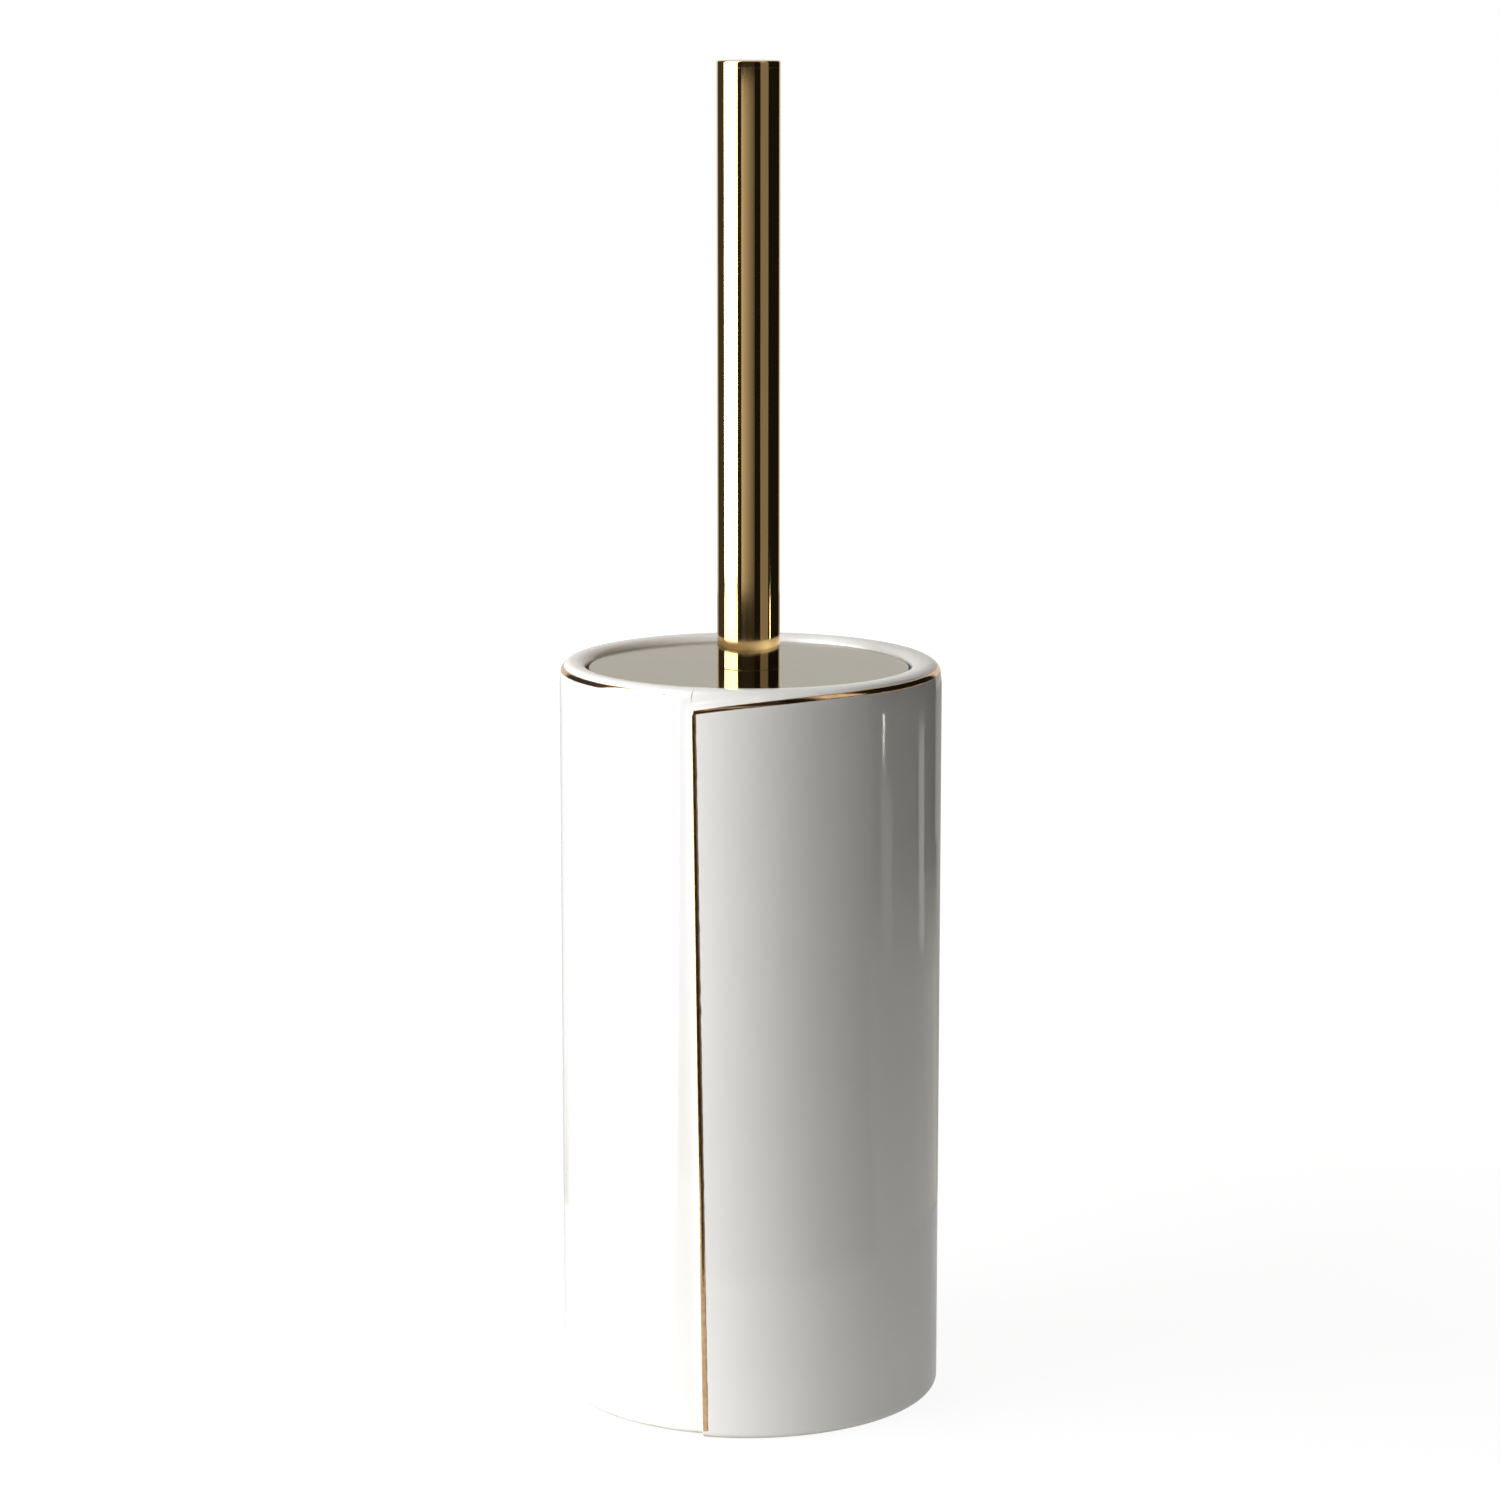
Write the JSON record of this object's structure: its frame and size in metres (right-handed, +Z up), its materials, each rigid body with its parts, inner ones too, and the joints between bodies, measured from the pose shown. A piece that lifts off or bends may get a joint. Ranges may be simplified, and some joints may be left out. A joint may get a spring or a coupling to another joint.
{
  "type": "toilet brush holder",
  "caption": "Cylindrical wrapped porcelain toilet brush holder with a lift-out drip cup, a recessed metal lid and a tube-handled brush that turns in the lid.",
  "frame": {"origin": "on the floor plane, on the axis of the opening, the stem and the handle, at the middle of the base pad's underside", "axes": "+Z up along the handle; -Y is the front, and the wrap's seam is 17 degrees from it towards -X; +X is to the viewer's right"},
  "size_m": [0.1098, 0.111, 0.3846],
  "materials": {
    "porcelain": "glossy white glaze",
    "gold": "polished gold plating and gold lustre line",
    "lid_metal": "polished warm metal plating",
    "steel": "satin stainless steel",
    "white_plastic": "satin moulded white",
    "black_plastic": "satin moulded black",
    "bristle": "white nylon filaments",
    "foam": "matt anti-slip foam"
  },
  "bodies": {
    "holder": {"porcelain_holder": "porcelain", "base_pad": "foam"},
    "cup": {"inner_cup": "white_plastic"},
    "lid": {"lid_plate": "lid_metal", "lid_bush": "black_plastic"},
    "brush": {"handle_tube": "gold", "handle_cap": "gold", "handle_insert": "white_plastic", "stem": "steel", "retaining_clip": "steel", "brush_core": "white_plastic", "head_socket": "steel", "bristle_row_1": "bristle", "bristle_row_2": "bristle", "bristle_row_3": "bristle", "bristle_row_4": "bristle", "bristle_row_5": "bristle", "bristle_row_6": "bristle", "bristle_row_7": "bristle", "bristle_row_8": "bristle", "bristle_tip_tuft": "bristle"}
  },
  "joints": [
    {"name": "cup_lift", "type": "slide", "parent": "holder", "child": "cup", "axis": [0, 0, 1], "range_m": [0, 0.215]},
    {"name": "brush_lift", "type": "slide", "parent": "cup", "child": "lid", "axis": [0, 0, 1], "range_m": [0, 0.215]},
    {"name": "brush_turn", "type": "hinge", "parent": "lid", "child": "brush", "pos_m": [0, 0, 0.21], "axis": [0, 0, 1], "continuous": true}
  ]
}
